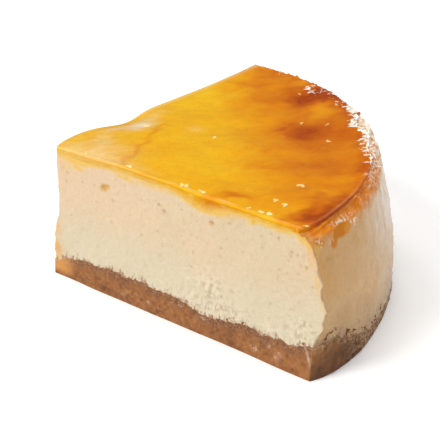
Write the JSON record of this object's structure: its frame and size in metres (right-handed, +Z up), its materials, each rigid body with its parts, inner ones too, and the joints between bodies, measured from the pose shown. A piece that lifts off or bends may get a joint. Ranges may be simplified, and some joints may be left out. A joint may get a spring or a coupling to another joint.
{
  "type": "baked cheesecake slice",
  "caption": "Quarter slice of a small round baked cheesecake: biscuit crumb base, set cheese filling and a thin glossy fruit glaze, standing on its base.",
  "frame": {"origin": "under the middle of the bounding box, on the surface that the slice stands on", "axes": "+Z up; -X towards the slice's tip and +X towards its outer wall; the cut face that the picture shows looks to -X and -Y"},
  "size_m": [0.0768, 0.1087, 0.0336],
  "materials": {
    "biscuit_crumb": "pressed biscuit crumb, dull and grainy, darker at its baked outer edge",
    "baked_cheese": "pale cream set cheese, finely pitted, with a moist tan baked skin on the outer wall",
    "fruit_glaze": "clear amber fruit glaze over a browned top, wet gloss, darker orange towards the outer rim"
  },
  "bodies": {
    "root": {"biscuit_base": "biscuit_crumb", "cheese_filling": "baked_cheese", "fruit_glaze": "fruit_glaze"}
  },
  "joints": []
}
